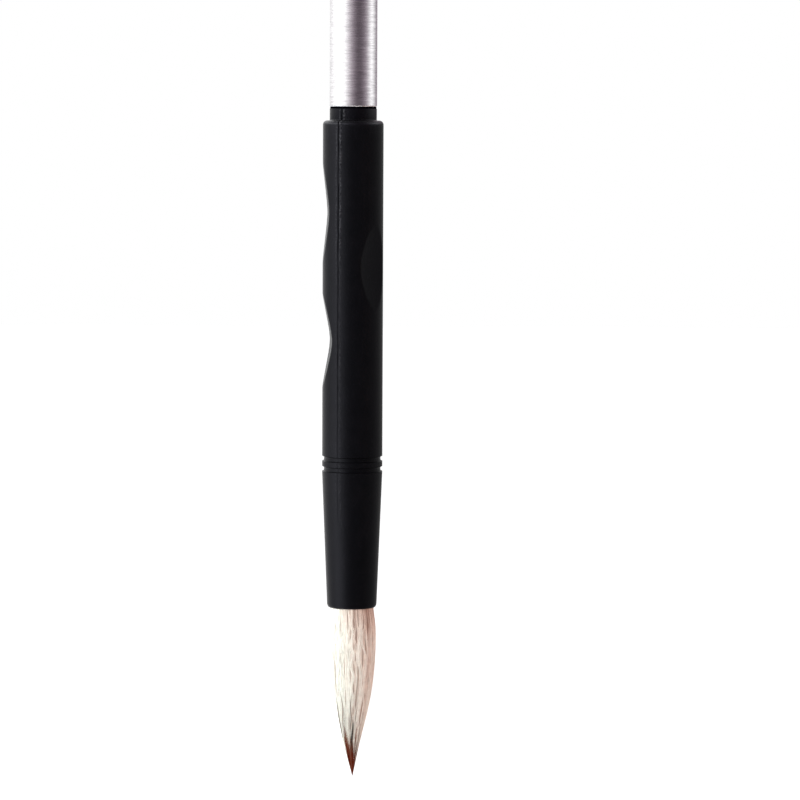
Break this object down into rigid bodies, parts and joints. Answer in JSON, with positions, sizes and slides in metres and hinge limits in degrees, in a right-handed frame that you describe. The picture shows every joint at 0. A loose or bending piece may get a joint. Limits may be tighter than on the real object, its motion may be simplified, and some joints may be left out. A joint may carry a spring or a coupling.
{
  "type": "calligraphy brush",
  "caption": "Calligraphy brush: a black moulded grip with finger recesses, a pull-off metal tube as its handle, and a white hair tuft with a brown point.",
  "frame": {"origin": "on the brush's axis, at the height of the thumb recess, where the hand holds it", "axes": "+Z along the brush from the tip to the tail; +X to the side away from the two finger recesses; the writer's thumb comes from -Y"},
  "size_m": [0.0156, 0.0156, 0.272],
  "materials": {
    "grip_moulding": "fine matt black",
    "handle_metal": "satin, turned, with a bright rim",
    "plug_moulding": "matt black",
    "white_hair": "straight soft hair",
    "filling_hair": "straight soft hair",
    "brown_hair": "straight springy hair",
    "thread": "twisted thread",
    "resin": "clear amber"
  },
  "bodies": {
    "grip": {"grip_body": "grip_moulding", "hair_mantle": "white_hair", "hair_belly": "filling_hair", "hair_point": "brown_hair", "root_binding": "thread", "root_plug": "resin"},
    "handle": {"handle_tube": "handle_metal", "tail_plug": "plug_moulding"}
  },
  "joints": [
    {"name": "handle_pull_off", "type": "slide", "parent": "grip", "child": "handle", "axis": [0, 0, 1], "range_m": [0, 0.018]}
  ]
}
